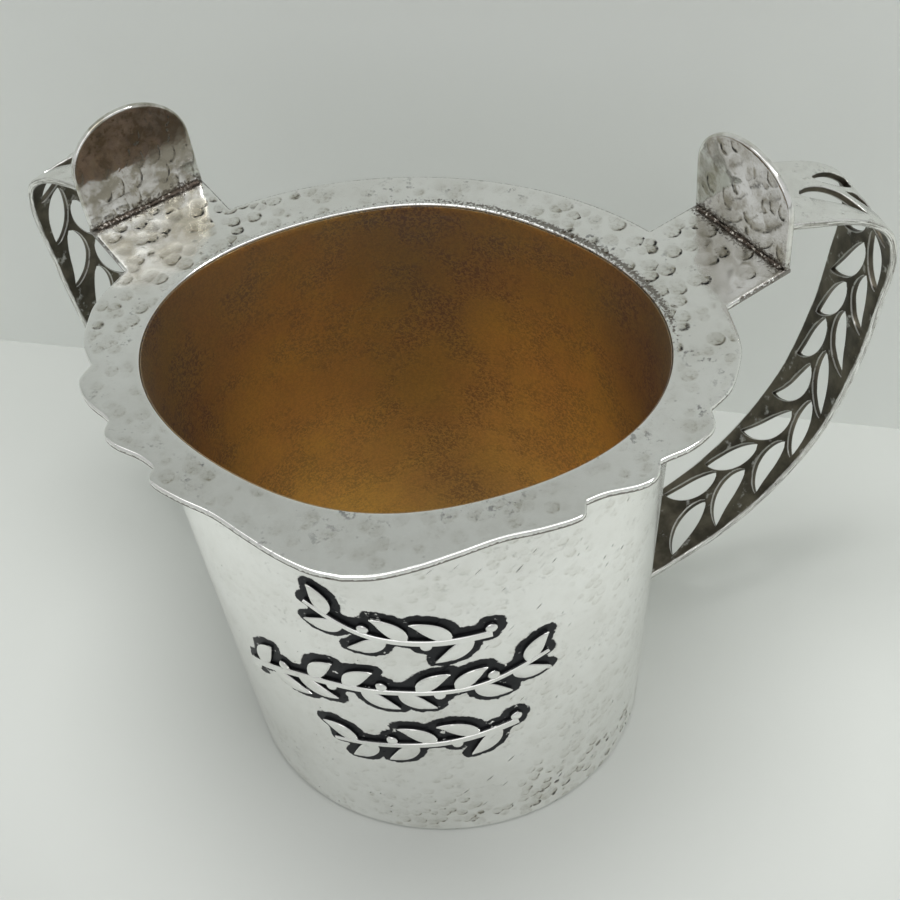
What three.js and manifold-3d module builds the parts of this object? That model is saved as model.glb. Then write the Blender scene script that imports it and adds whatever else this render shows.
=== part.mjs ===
// Two-handled ritual hand-washing cup of hammered silver, gilded inside.
// Millimetres, +Z up. The origin is the middle of the underside of the base.
// The pouring lip points along -Y and the handles stand out to both sides, turned to the rear.
import * as THREE from 'three';
import { mergeVertices } from 'three/addons/utils/BufferGeometryUtils.js';
import Module from 'manifold-3d';

const wasm = await Module();
wasm.setup();

// Vessel: a tapering wall that starts nearly round and ends in a pointed oval mouth.
const cup_height = 120;
const base_half_x = 48.5;
const base_half_y = 45;
const base_half_diagonal = 46.7;
const mouth_half_x = 56.3;
const mouth_half_y = 45.3;
const mouth_half_diagonal = 48.2;
const wall_thickness = 1.4;
const base_thickness = 1.6;
const seat_gap = 0.3;
const wall_steps = 96;

// Rim plate: a flat collar with a smooth rear, stepped sides and a broad front lip.
const rim_thickness = 1.6;
const rim_edge_round = 0.5;
const side_brim = 13.7;
const rear_brim = 9.7;
const lip_brim = 16.2;
const rim_half_width = mouth_half_x + side_brim;
const rim_rear_reach = mouth_half_y + rear_brim;
const lip_reach = mouth_half_y + lip_brim;
const rim_rear_steps = 12;
const scallop_steps = 3;

// Ears: straight tongues of the rim plate that carry the thumb plates.
const ear_width = 28.8;
const ear_angle = THREE.MathUtils.degToRad(46);
const ear_seat_angle = THREE.MathUtils.degToRad(30.5);
const ear_overhang = 8;
const ear_seat_reach = rim_half_width + ear_overhang;

// Thumb plates: upright tombstone plates soldered on the ends of the ears.
const thumb_height = 25.2;
const thumb_crown = 12.2;
const thumb_thickness = 1.6;
const thumb_lean = THREE.MathUtils.degToRad(4);
const thumb_edge_round = 0.5;
const crown_steps = 14;

// Handle straps: pierced bands bent in upright planes, from the thumb plates down to the wall.
const strap_angle = THREE.MathUtils.degToRad(31);
const strap_overhang = 33.4;
const strap_rise = 10.6;
const strap_foot_height = 21.5;
const strap_width_top = 22.4;
const strap_width_foot = 20.6;
const strap_thickness = 1.8;
const strap_bury = 4;
const strap_steps = 36;

// Leaf-shaped piercings on both sides of a winding stem that runs down each strap.
const rail_width = 2.2;
const stem_width = 2.2;
const stem_swing = 2.4;
const leaf_pitch = 13;
const leaf_opening_width = 5.4;
const plain_top_length = 14;
const plain_foot_length = 10;
const leaf_steps = 6;
const leaf_fullness_share = 0.8;
const leaf_bow_share = 0.72;
const leaf_tip_share = 1.12;

// Applied sprays of leaves and berries on the front of the wall.
const spray_width = 82;
const spray_height = 64;
const spray_middle_height = 63;
const spray_thickness = 1.2;
const twig_width = 2.1;
const twig_tip_share = 0.55;
const twig_facet_length = 3.5;
const spray_leaf_length = 11.5;
const spray_leaf_width = 4.4;
const spray_leaf_angle = THREE.MathUtils.degToRad(38);
const spray_leaf_bow_angle = THREE.MathUtils.degToRad(58);
const leaf_lead_share = 0.3;
const leaf_lag_share = 0.62;
const leaf_shrink_share = 0.8;
const berry_radius = 1.6;
const berry_steps = 10;
const leaf_relief = 0.2;

// Cuts run past the faces that they open by this much.
const cut_overrun = 3;

const silver = { color: 0xc9cbc6, roughness: 0.22, metalness: 1 };
const satin_silver = { color: 0xc2c5c0, roughness: 0.32, metalness: 1 };
const dark_silver = { color: 0x6b645b, roughness: 0.45, metalness: 1 };

// Right-hand half of the stepped rim edge, from the ear to the tip of the lip.
// Each run ends in a sharp step; x is a share of rim_half_width and y of lip_reach.
const scallop_shares = [
  [[0.994, 0.13], [0.999, 0.04], [0.982, -0.085], [0.929, -0.187]],
  [[0.946, -0.258], [0.923, -0.315], [0.883, -0.368], [0.827, -0.414], [0.807, -0.432]],
  [[0.804, -0.494], [0.763, -0.54], [0.676, -0.58], [0.621, -0.62]],
  [[0.616, -0.682], [0.526, -0.741], [0.411, -0.795], [0.303, -0.868], [0.2, -0.934], [0.094, -0.984], [0, -1]],
];

// Middle line of a strap in its upright plane. The upper arm is given as shares of the overhang
// past the thumb plate and of the height above the foot; the lower arm as shares of the reach
// past the wall and of the same height.
const strap_upper_shares = [[0.36, 0.966], [0.725, 0.928], [0.934, 0.873], [1, 0.795]];
const strap_lower_shares = [[0.968, 0.674], [0.906, 0.512], [0.754, 0.31], [0.447, 0.13]];

// Twigs of the three sprays, in shares of the spray's half width and half height, from root to tip.
const spray_twig_shares = {
  ornament_main_spray: [[-0.95, -0.42], [-0.5, -0.16], [0, -0.08], [0.5, -0.06], [0.9, 0.1]],
  ornament_upper_spray: [[0.6, 0.5], [0.25, 0.5], [-0.1, 0.58], [-0.4, 0.8]],
  ornament_lower_spray: [[0.7, -0.6], [0.32, -0.7], [-0.06, -0.76], [-0.4, -0.84]],
};
const spray_leaf_pairs = { ornament_main_spray: 6, ornament_upper_spray: 3, ornament_lower_spray: 3 };

// Radius of an oval whose half sizes along X, along Y and on the diagonal are given.
function ovalRadius(half_x, half_y, half_diagonal, angle) {
  const mean = (half_x + half_y + 2 * half_diagonal) / 4;
  const stretch = (half_x - half_y) / 2;
  const point = (half_x + half_y - 2 * half_diagonal) / 4;
  return mean + stretch * Math.cos(2 * angle) + point * Math.cos(4 * angle);
}

function baseRadius(angle) {
  return ovalRadius(base_half_x, base_half_y, base_half_diagonal, angle);
}

function mouthRadius(angle) {
  return ovalRadius(mouth_half_x, mouth_half_y, mouth_half_diagonal, angle);
}

const wall_top = cup_height - rim_thickness - seat_gap;

// Outer radius of the wall at a height, as a straight line from base to mouth.
function wallRadius(angle, height) {
  const outer_mouth = mouthRadius(angle) + wall_thickness;
  return THREE.MathUtils.lerp(baseRadius(angle), outer_mouth, height / wall_top);
}

function ringOf(radiusAt, height) {
  const ring = [];
  for (let i = 0; i < wall_steps; i += 1) {
    const angle = (i / wall_steps) * 2 * Math.PI;
    const radius = radiusAt(angle);
    ring.push(new THREE.Vector3(radius * Math.cos(angle), radius * Math.sin(angle), height));
  }
  return ring;
}

function geometryFrom(points, faces) {
  const geometry = new THREE.BufferGeometry();
  const positions = [];
  for (const point of points) {
    positions.push(point.x, point.y, point.z);
  }
  geometry.setAttribute('position', new THREE.Float32BufferAttribute(positions, 3));
  geometry.setIndex(faces.flat());
  return geometry;
}

// Skin over a row of rings with the same count of points; it closes into a tube or gets two ends.
function skinRings(rings, closed) {
  const count = rings[0].length;
  const points = rings.flat();
  const faces = [];
  const last = closed ? rings.length : rings.length - 1;
  for (let r = 0; r < last; r += 1) {
    const here = r * count;
    const next = ((r + 1) % rings.length) * count;
    for (let i = 0; i < count; i += 1) {
      const j = (i + 1) % count;
      faces.push([here + i, here + j, next + j], [here + i, next + j, next + i]);
    }
  }
  if (!closed) {
    const top = (rings.length - 1) * count;
    for (let i = 1; i < count - 1; i += 1) {
      faces.push([0, i + 1, i], [top, top + i, top + i + 1]);
    }
  }
  return geometryFrom(points, faces);
}

// A solid for joining and cutting, from any closed geometry.
function solidOf(geometry) {
  const bare = geometry.clone();
  bare.deleteAttribute('normal');
  bare.deleteAttribute('uv');
  const merged = mergeVertices(bare);
  return new wasm.Manifold(new wasm.Mesh({
    numProp: 3,
    vertProperties: new Float32Array(merged.attributes.position.array),
    triVerts: new Uint32Array(merged.index.array),
  }));
}

function geometryOf(solid) {
  const mesh = solid.getMesh();
  const geometry = new THREE.BufferGeometry();
  geometry.setAttribute('position', new THREE.Float32BufferAttribute(Array.from(mesh.vertProperties), 3));
  geometry.setIndex(Array.from(mesh.triVerts));
  return geometry;
}

// The same geometry on the other side of the cup, with its faces turned to point out again.
function mirrored(geometry) {
  const flipped = geometry.index ? geometry.toNonIndexed() : geometry.clone();
  const position = flipped.attributes.position;
  for (let i = 0; i < position.count; i += 3) {
    const corners = [0, 1, 2].map((k) => new THREE.Vector3().fromBufferAttribute(position, i + k));
    const order = [corners[0], corners[2], corners[1]];
    order.forEach((corner, k) => position.setXYZ(i + k, -corner.x, corner.y, corner.z));
  }
  flipped.deleteAttribute('normal');
  flipped.deleteAttribute('uv');
  return mergeVertices(flipped);
}

// Moves every point of a geometry through a rule, such as bending a flat piece round a path.
function reshaped(geometry, rule) {
  const bare = geometry.clone();
  bare.deleteAttribute('normal');
  bare.deleteAttribute('uv');
  const merged = mergeVertices(bare);
  const position = merged.attributes.position;
  const point = new THREE.Vector3();
  for (let i = 0; i < position.count; i += 1) {
    point.fromBufferAttribute(position, i);
    const moved = rule(point.x, point.y, point.z);
    position.setXYZ(i, moved.x, moved.y, moved.z);
  }
  return merged;
}

// Body wall: rolled sheet, open at both ends, joined to the rim plate above and the base below.
function makeBodyWall() {
  const inner_base = (angle) => baseRadius(angle) - wall_thickness;
  return skinRings([
    ringOf(baseRadius, 0),
    ringOf((angle) => wallRadius(angle, wall_top), wall_top),
    ringOf(mouthRadius, wall_top),
    ringOf(inner_base, 0),
  ], true);
}

// Base: a flat disc let into the foot of the wall.
function makeBaseDisc() {
  const edge = (angle) => baseRadius(angle) - wall_thickness - seat_gap;
  return skinRings([ringOf(edge, 0), ringOf(edge, base_thickness)], false);
}

// Places along and across an ear, measured from the middle of the seam under the thumb plate.
const ear_out = new THREE.Vector2(Math.cos(ear_angle), Math.sin(ear_angle));
const ear_across = new THREE.Vector2(Math.sin(ear_angle), -Math.cos(ear_angle));
const ear_seat = new THREE.Vector2(Math.cos(ear_seat_angle), Math.sin(ear_seat_angle))
  .multiplyScalar(ear_seat_reach);

function earPoint(out, across) {
  return ear_seat.clone().addScaledVector(ear_out, out).addScaledVector(ear_across, across);
}

// Angle at which a side of the ear leaves the smooth oval of the collar, worked out on the oval
// drawn as a circle of radius one.
function earRootTurn(across) {
  const squash = new THREE.Vector2(rim_half_width, rim_rear_reach);
  const start = earPoint(0, across).divide(squash);
  const run = ear_out.clone().divide(squash);
  const drift = start.dot(run);
  const reach = -drift + Math.sqrt(drift ** 2 - run.lengthSq() * (start.lengthSq() - 1));
  const root = start.addScaledVector(run, reach / run.lengthSq());
  return root.angle();
}

// Right-hand half of the rim plate's edge, from the middle of the rear round to the tip of the lip.
function rimHalfEdge() {
  const edge = [];
  const half = ear_width / 2;
  const far_turn = earRootTurn(-half);
  const near_turn = earRootTurn(half);
  for (let i = 0; i <= rim_rear_steps; i += 1) {
    const turn = THREE.MathUtils.lerp(Math.PI / 2, far_turn, i / rim_rear_steps);
    edge.push(new THREE.Vector2(rim_half_width * Math.cos(turn), rim_rear_reach * Math.sin(turn)));
  }
  edge.push(earPoint(thumb_thickness, -half));
  edge.push(earPoint(thumb_thickness, half));
  const root = new THREE.Vector2(rim_half_width * Math.cos(near_turn), rim_rear_reach * Math.sin(near_turn));
  edge.push(root);
  let start = root;
  for (const run of scallop_shares) {
    const stops = run.map(([x, y]) => new THREE.Vector2(x * rim_half_width, y * lip_reach));
    const curve = new THREE.SplineCurve([start, ...stops]);
    const steps = stops.length * scallop_steps;
    for (let i = 1; i <= steps; i += 1) {
      edge.push(curve.getPoint(i / steps));
    }
    start = stops[stops.length - 1];
  }
  return edge;
}

// Rim plate: cut from sheet with the mouth open in the middle and its edges rounded over.
function makeRimPlate() {
  const right = rimHalfEdge();
  const left = right.slice(1, -1).reverse().map((point) => new THREE.Vector2(-point.x, point.y));
  const outline = new THREE.Shape([...right, ...left].reverse());
  const mouth = ringOf(mouthRadius, 0).map((point) => new THREE.Vector2(point.x, point.y));
  outline.holes.push(new THREE.Path(mouth.reverse()));
  const geometry = new THREE.ExtrudeGeometry(outline, {
    depth: rim_thickness - 2 * rim_edge_round,
    bevelEnabled: true,
    bevelThickness: rim_edge_round,
    bevelSize: rim_edge_round,
    bevelOffset: -rim_edge_round,
    bevelSegments: 2,
    steps: 1,
  });
  return geometry.translate(0, 0, cup_height - rim_thickness + rim_edge_round);
}

// Upright frame at the seam of an ear: X along the seam, Y up the plate, Z out from the cup.
function thumbFrame() {
  const out = new THREE.Vector3(ear_out.x, ear_out.y, 0);
  const up = new THREE.Vector3(0, 0, 1);
  const along = new THREE.Vector3().crossVectors(up, out);
  const frame = new THREE.Matrix4().makeBasis(along, up, out);
  frame.setPosition(ear_seat.x, ear_seat.y, cup_height + seat_gap);
  return frame.multiply(new THREE.Matrix4().makeRotationX(thumb_lean));
}

// Thumb plate: straight sides and a rounded crown, leaning out a little.
function makeThumbPlate() {
  const half = ear_width / 2;
  const shoulder = thumb_height - thumb_crown;
  const outline = new THREE.Shape();
  outline.moveTo(-half, 0);
  outline.lineTo(half, 0);
  outline.lineTo(half, shoulder);
  for (let i = 1; i < crown_steps; i += 1) {
    const turn = (i / crown_steps) * Math.PI;
    outline.lineTo(half * Math.cos(turn), shoulder + thumb_crown * Math.sin(turn));
  }
  outline.lineTo(-half, shoulder);
  const geometry = new THREE.ExtrudeGeometry(outline, {
    depth: thumb_thickness - 2 * thumb_edge_round,
    bevelEnabled: true,
    bevelThickness: thumb_edge_round,
    bevelSize: thumb_edge_round,
    bevelOffset: -thumb_edge_round,
    bevelSegments: 2,
    steps: 1,
  });
  return geometry.translate(0, 0, thumb_edge_round).applyMatrix4(thumbFrame());
}

// Middle line of the right strap in its plane: x is the distance from the axis, y the height.
function strapPath() {
  const top_height = cup_height + strap_rise;
  const climb = top_height - strap_foot_height;
  const foot_reach = wallRadius(strap_angle, strap_foot_height);
  const full_reach = ear_seat_reach + strap_overhang;
  const stops = [new THREE.Vector3(ear_seat_reach - strap_bury, top_height, 0)];
  for (const [out, up] of strap_upper_shares) {
    stops.push(new THREE.Vector3(ear_seat_reach + out * strap_overhang, strap_foot_height + up * climb, 0));
  }
  for (const [out, up] of strap_lower_shares) {
    const reach = THREE.MathUtils.lerp(foot_reach, full_reach, out);
    stops.push(new THREE.Vector3(reach, strap_foot_height + up * climb, 0));
  }
  stops.push(new THREE.Vector3(foot_reach - strap_bury, strap_foot_height, 0));
  return new THREE.CatmullRomCurve3(stops, false, 'centripetal');
}

const strap_path = strapPath();
const strap_length = strap_path.getLength();

// Place on the bent strap: along its length, across it to the rear, and out from its middle.
function strapPoint(along, across, out) {
  const share = THREE.MathUtils.clamp(along / strap_length, 0, 1);
  const middle = strap_path.getPointAt(share);
  const run = strap_path.getTangentAt(share);
  const reach = middle.x - run.y * out;
  const height = middle.y + run.x * out;
  return new THREE.Vector3(
    reach * Math.cos(strap_angle) - across * Math.sin(strap_angle),
    reach * Math.sin(strap_angle) + across * Math.cos(strap_angle),
    height,
  );
}

function strapHalfWidth(along) {
  return THREE.MathUtils.lerp(strap_width_top, strap_width_foot, along / strap_length) / 2;
}

// A pointed leaf along a bowed middle line, as a flat outline; it swells to its width and closes.
function leafOutline(root, bow, tip, width) {
  const line = new THREE.QuadraticBezierCurve(root, bow, tip);
  const fore = [];
  const back = [];
  for (let i = 0; i <= leaf_steps; i += 1) {
    const share = i / leaf_steps;
    const middle = line.getPoint(share);
    const run = line.getTangent(share);
    const swell = Math.sin(Math.PI * share ** leaf_fullness_share) ** leaf_fullness_share;
    const half = i === 0 || i === leaf_steps ? 0 : (width / 2) * swell;
    fore.push(new THREE.Vector2(middle.x + run.y * half, middle.y - run.x * half));
    if (half > 0) {
      back.push(new THREE.Vector2(middle.x - run.y * half, middle.y + run.x * half));
    }
  }
  return new THREE.Shape([...fore, ...back.reverse()]);
}

// Cutters for the leaf-shaped openings, staggered on both sides of the winding stem.
function leafCutters() {
  const cutters = [];
  const reach_out = strap_thickness / 2 + cut_overrun;
  const swing = (along) => stem_swing * Math.sin(((along - plain_top_length) / leaf_pitch) * (Math.PI / 2));
  const start = strap_bury + plain_top_length;
  for (const side of [-1, 1]) {
    const lag = side > 0 ? leaf_pitch / 2 : 0;
    const last = strap_length - strap_bury - plain_foot_length - leaf_pitch * leaf_tip_share;
    for (let along = start + lag; along <= last; along += leaf_pitch) {
      const edge = strapHalfWidth(along) - rail_width;
      const root = new THREE.Vector2(along, swing(along) + side * stem_width);
      const bow_along = along + leaf_pitch * leaf_bow_share;
      const bow = new THREE.Vector2(bow_along, swing(bow_along) + side * stem_width);
      const tip = new THREE.Vector2(along + leaf_pitch * leaf_tip_share, side * edge);
      const flat = new THREE.ExtrudeGeometry(leafOutline(root, bow, tip, leaf_opening_width), {
        depth: 2 * reach_out,
        bevelEnabled: false,
        steps: 1,
      }).translate(0, 0, -reach_out);
      cutters.push(solidOf(reshaped(flat, strapPoint)));
    }
  }
  return cutters;
}

// Everything within the wall's outer face and its seat gap, to cut the strap's foot to the wall.
function wallCutter() {
  const grown = (height) => (angle) => wallRadius(angle, height) + seat_gap;
  return solidOf(skinRings([
    ringOf(grown(-cut_overrun), -cut_overrun),
    ringOf(grown(wall_top), wall_top),
  ], false));
}

// Everything on the cup's side of the thumb plate's back, to cut the strap's top to the plate.
function thumbCutter() {
  const size = ear_seat_reach;
  const block = new THREE.BoxGeometry(size, size, size);
  block.translate(0, size / 2 - rim_thickness, thumb_thickness + seat_gap - size / 2);
  return solidOf(block.applyMatrix4(thumbFrame()));
}

// Handle strap: a flat pierced band bent to shape and cut to fit the plate and the wall.
function makeHandleStrap() {
  const sections = [];
  const skin = strap_thickness / 2;
  for (const along of strap_path.getLengths(strap_steps)) {
    const half = strapHalfWidth(along);
    sections.push([
      strapPoint(along, -half, -skin),
      strapPoint(along, half, -skin),
      strapPoint(along, half, skin),
      strapPoint(along, -half, skin),
    ]);
  }
  let strap = solidOf(skinRings(sections, false));
  for (const cutter of [...leafCutters(), thumbCutter(), wallCutter()]) {
    strap = strap.subtract(cutter);
  }
  return geometryOf(strap);
}

// Place on the front of the wall: along it to the right, up from the floor, and out from its face.
function wallPoint(along, height, out) {
  const facing = -Math.PI / 2;
  const angle = facing + along / base_half_x;
  const radius = wallRadius(angle, height) + out;
  return new THREE.Vector3(radius * Math.cos(angle), radius * Math.sin(angle), height);
}

function twigCurve(shares) {
  const stops = shares.map(([x, y]) => new THREE.Vector3(
    (x * spray_width) / 2,
    spray_middle_height + (y * spray_height) / 2,
    0,
  ));
  return new THREE.CatmullRomCurve3(stops, false, 'centripetal');
}

// A flat outline on the front of the wall made into a piece of sheet bent to the wall.
function wallPiece(outline, low, high) {
  const flat = new THREE.ExtrudeGeometry(outline, {
    depth: high - low,
    bevelEnabled: false,
    steps: 1,
  }).translate(0, 0, low);
  return solidOf(reshaped(flat, wallPoint));
}

const twig_back = seat_gap;
const twig_face = seat_gap + spray_thickness;

// Twig: a tapering strip along its curve.
function makeTwig(curve) {
  const sections = [];
  const pieces = Math.round(curve.getLength() / twig_facet_length);
  for (let i = 0; i <= pieces; i += 1) {
    const point = curve.getPointAt(i / pieces);
    const run = curve.getTangentAt(i / pieces);
    const half = (twig_width / 2) * THREE.MathUtils.lerp(1, twig_tip_share, i / pieces);
    const corner = (side, out) => wallPoint(point.x - side * run.y, point.y + side * run.x, out);
    sections.push([
      corner(-half, twig_back),
      corner(half, twig_back),
      corner(half, twig_face),
      corner(-half, twig_face),
    ]);
  }
  return solidOf(skinRings(sections, false));
}

// Frame at a share of a twig: a point given ahead along it and out to one side of it.
function besideTwig(curve, share, side, ahead, aside) {
  const point = curve.getPointAt(share);
  const run = curve.getTangentAt(share);
  return new THREE.Vector2(
    point.x + ahead * run.x - side * aside * run.y,
    point.y + ahead * run.y + side * aside * run.x,
  );
}

// Leaf: lies a little lower than the twig that it grows from.
function sprayLeaf(curve, share, side) {
  const size = spray_leaf_length * THREE.MathUtils.lerp(1, leaf_shrink_share, share);
  const at = (turn, reach) => besideTwig(curve, share, side, reach * Math.cos(turn), reach * Math.sin(turn));
  const bow = at(spray_leaf_bow_angle, size / 2);
  const outline = leafOutline(at(0, 0), bow, at(spray_leaf_angle, size), spray_leaf_width);
  return wallPiece(outline, twig_back + leaf_relief, twig_face - leaf_relief);
}

// Berry: stands a little prouder than the twig.
function sprayBerry(curve, share, side) {
  const middle = besideTwig(curve, share, side, 0, berry_radius);
  const outline = [];
  for (let i = 0; i < berry_steps; i += 1) {
    const turn = (i / berry_steps) * 2 * Math.PI;
    outline.push(new THREE.Vector2(
      middle.x + berry_radius * Math.cos(turn),
      middle.y + berry_radius * Math.sin(turn),
    ));
  }
  return wallPiece(new THREE.Shape(outline), twig_back + leaf_relief / 2, twig_face + leaf_relief);
}

// Spray: a sawn twig with staggered leaves and berries, bent to the wall and soldered on.
function makeSpray(name) {
  const curve = twigCurve(spray_twig_shares[name]);
  const pairs = spray_leaf_pairs[name];
  let spray = makeTwig(curve);
  for (let i = 0; i < pairs; i += 1) {
    const side = i % 2 === 0 ? 1 : -1;
    spray = spray.add(sprayLeaf(curve, (i + leaf_lead_share) / pairs, side));
    spray = spray.add(sprayLeaf(curve, (i + leaf_lag_share) / pairs, -side));
    spray = spray.add(sprayBerry(curve, i / pairs, -side));
  }
  return geometryOf(spray);
}

const cup = new THREE.Group();

function addPiece(name, geometry, finish) {
  const mesh = new THREE.Mesh(geometry, new THREE.MeshStandardMaterial(finish));
  mesh.name = name;
  cup.add(mesh);
}

addPiece('body_wall', makeBodyWall(), satin_silver);
addPiece('base_disc', makeBaseDisc(), satin_silver);
addPiece('rim_plate', makeRimPlate(), silver);

const thumb_plate = makeThumbPlate();
addPiece('thumb_plate_right', thumb_plate, silver);
addPiece('thumb_plate_left', mirrored(thumb_plate), silver);

const handle_strap = makeHandleStrap();
addPiece('handle_strap_right', handle_strap, dark_silver);
addPiece('handle_strap_left', mirrored(handle_strap), dark_silver);

for (const name of Object.keys(spray_twig_shares)) {
  addPiece(name, makeSpray(name), silver);
}

export default cup;
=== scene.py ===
import math

import bmesh
import bpy
import numpy as np
from mathutils import Matrix, Vector
from mathutils.geometry import delaunay_2d_cdt


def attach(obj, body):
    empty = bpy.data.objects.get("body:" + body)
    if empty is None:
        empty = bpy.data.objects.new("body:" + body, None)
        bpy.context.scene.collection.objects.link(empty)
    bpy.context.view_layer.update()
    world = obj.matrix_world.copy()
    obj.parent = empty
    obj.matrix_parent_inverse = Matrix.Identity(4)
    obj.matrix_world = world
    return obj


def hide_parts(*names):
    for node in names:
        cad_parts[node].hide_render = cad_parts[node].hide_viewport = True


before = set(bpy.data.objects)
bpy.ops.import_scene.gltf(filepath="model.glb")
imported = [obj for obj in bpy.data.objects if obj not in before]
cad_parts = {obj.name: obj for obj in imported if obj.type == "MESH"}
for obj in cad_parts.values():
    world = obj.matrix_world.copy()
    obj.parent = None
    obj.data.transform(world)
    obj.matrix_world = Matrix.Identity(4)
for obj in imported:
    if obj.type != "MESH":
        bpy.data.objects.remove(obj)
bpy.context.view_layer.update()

# Body wall: sheet silver raised into a tapering vessel, nearly round at the foot and a pointed
# oval at the mouth. It is planished with a small hammer and polished, and dark oxide stays in
# the deeper marks, with painted shade on one side of each mark.
foot_half = (0.0485, 0.0450, 0.0467)
mouth_half = (0.0563, 0.0453, 0.0482)
wall_thickness = 0.0014
wall_height = 0.1181
wall_top = 0.11838
wall_around = 480
wall_rows = 140
same_place = 1e-6
socket_types = {float: "Float", int: "Int", tuple: "Vector"}
surface = {"Colour": "Color", "Roughness": "Float", "Height": "Float"}


class Wire:
    """A node's output that can be reckoned with: each sum or product adds a Math node."""

    def __init__(self, socket):
        self.socket = socket
        self.tree = socket.id_data

    def reckon(self, operation, *others):
        return put(self.tree, "Math", self, *others, operation=operation)

    def __add__(self, other):
        return self.reckon("ADD", other)

    def __sub__(self, other):
        return self.reckon("SUBTRACT", other)

    def __mul__(self, other):
        return self.reckon("MULTIPLY", other)

    def __truediv__(self, other):
        return self.reckon("DIVIDE", other)

    __radd__ = __add__
    __rmul__ = __mul__

    def __rsub__(self, other):
        return put(self.tree, "Math", other, self, operation="SUBTRACT")

    def __rtruediv__(self, other):
        return put(self.tree, "Math", other, self, operation="DIVIDE")

    def clamped(self):
        return put(self.tree, "Clamp", self, 0.0, 1.0)

    def ramp(self, low, high, start=0.0, end=1.0):
        """Smooth rise from start to end while this value goes from low to high."""
        return put(self.tree, "MapRange", self, low, high, start, end, interpolation_type="SMOOTHSTEP")

    def part(self, name):
        """Another output of the same node."""
        return Wire(self.socket.node.outputs[name])


def feed(socket, value):
    if isinstance(value, Wire):
        socket.id_data.links.new(value.socket, socket)
    elif value is not None:
        socket.default_value = value


def put(tree, kind, *values, named=None, **settings):
    """Adds a node, sets it up, fills its inputs in order or by name, and gives its first output.
    The kind is the node's type without its leading ShaderNode or GeometryNode."""
    own_kind = tree.bl_idname.replace("Tree", kind)
    node = tree.nodes.new(own_kind if hasattr(bpy.types, own_kind) else "ShaderNode" + kind)
    for name, setting in settings.items():
        setattr(node, name, setting)
    sockets = [s for s in node.inputs if s.enabled]
    for socket, value in zip(sockets, values):
        feed(socket, value)
    for name, value in (named or {}).items():
        feed([s for s in sockets if s.name == name][0], value)
    return Wire([s for s in node.outputs if s.enabled][0])


def split(vector):
    """The X, Y and Z of a vector."""
    x = put(vector.tree, "SeparateXYZ", vector)
    return x, x.part("Y"), x.part("Z")


def place_at(x, y, z=0.0):
    return put(x.tree, "CombineXYZ", x, y, z)


def scaled(vector, share):
    return put(vector.tree, "VectorMath", vector, operation="SCALE", named={"Scale": share})


def joined(first, second, operation="ADD"):
    tree = (first if isinstance(first, Wire) else second).tree
    return put(tree, "VectorMath", first, second, operation=operation)


def carried_by(tree, label, kind="FLOAT"):
    return put(tree, "InputNamedAttribute", label, data_type=kind)


def remember(shape, label, value, kind="FLOAT"):
    return put(shape.tree, "StoreNamedAttribute", shape, None, label, value, data_type=kind)


def moved(shape, place=None, push=None):
    return put(shape.tree, "SetPosition", shape, None, place, push)


def merged(shape):
    return put(shape.tree, "MergeByDistance", shape, named={"Distance": same_place})


def whole(shape):
    return put(shape.tree, "RealizeInstances", shape)


def new_tree(name, inputs, outputs=None):
    """An empty tree with named inputs, each given by its default or its type, and named outputs;
    gives the tree and its input wires. Without outputs it is a geometry tree that makes a shape."""
    kind = "ShaderNodeTree" if outputs == surface else "GeometryNodeTree"
    tree = bpy.data.node_groups.new(name, kind)
    for label, default in inputs.items():
        socket = default if isinstance(default, str) else socket_types[type(default)]
        made = tree.interface.new_socket(name=label, in_out="INPUT", socket_type="NodeSocket" + socket)
        if default != socket:
            made.default_value = default
    for label, socket in (outputs or {"Geometry": "Geometry"}).items():
        tree.interface.new_socket(name=label, in_out="OUTPUT", socket_type="NodeSocket" + socket)
    entry = tree.nodes.new("NodeGroupInput")
    return tree, {label: Wire(entry.outputs[label]) for label in inputs}


def finish_tree(tree, **results):
    leave = tree.nodes.new("NodeGroupOutput")
    for label, wire in results.items():
        feed(leave.inputs[label], wire)


def finish_shape(shape, material):
    """Ends a geometry tree: its shape is made real and gets its material."""
    finish_tree(shape.tree, Geometry=put(shape.tree, "SetMaterial", whole(shape), None, material))


def settle(piece, tree, sizes):
    """Runs a geometry tree on a piece and keeps what it makes as the piece's plain mesh."""
    step = piece.modifiers.new(tree.name, "NODES")
    step.node_group = tree
    for item in tree.interface.items_tree:
        if item.in_out == "INPUT" and item.name in sizes:
            step[item.identifier] = sizes[item.name]
    graph = bpy.context.evaluated_depsgraph_get()
    mesh = bpy.data.meshes.new_from_object(piece.evaluated_get(graph), depsgraph=graph)
    piece.modifiers.remove(step)
    piece.data = mesh
    mesh.name = piece.name
    return piece


def new_piece(name, points, faces=(), chained=False):
    """A piece from points and faces, or a chain of edges from which a tree makes its curve."""
    edges = [(i, i + 1) for i in range(len(points) - 1)] if chained else []
    mesh = bpy.data.meshes.new(name)
    mesh.from_pydata([tuple(p) for p in points], edges, faces)
    piece = bpy.data.objects.new(name, mesh)
    bpy.context.scene.collection.objects.link(piece)
    return piece


def mark_points(piece, label, values):
    """Writes one number to each point of a piece, for its trees and its material to read."""
    piece.data.attributes.new(label, "FLOAT", "POINT").data.foreach_set("value", list(values))


def point_outwards(piece):
    """Merges doubled points and turns every face of a closed piece outwards."""
    work = bmesh.new()
    work.from_mesh(piece.data)
    bmesh.ops.remove_doubles(work, verts=work.verts, dist=same_place)
    bmesh.ops.recalc_face_normals(work, faces=work.faces)
    work.to_mesh(piece.data)
    work.free()
    piece.data.shade_smooth()
    piece.data.set_sharp_from_angle(angle=math.radians(38))


def fit_to_frame(piece, slot, *nodes):
    """Says which body carries a piece and which plain solids it stands for; its slot, the finish, is not
    used.
    """
    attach(piece, "root")
    if nodes:
        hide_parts(*nodes)


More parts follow.
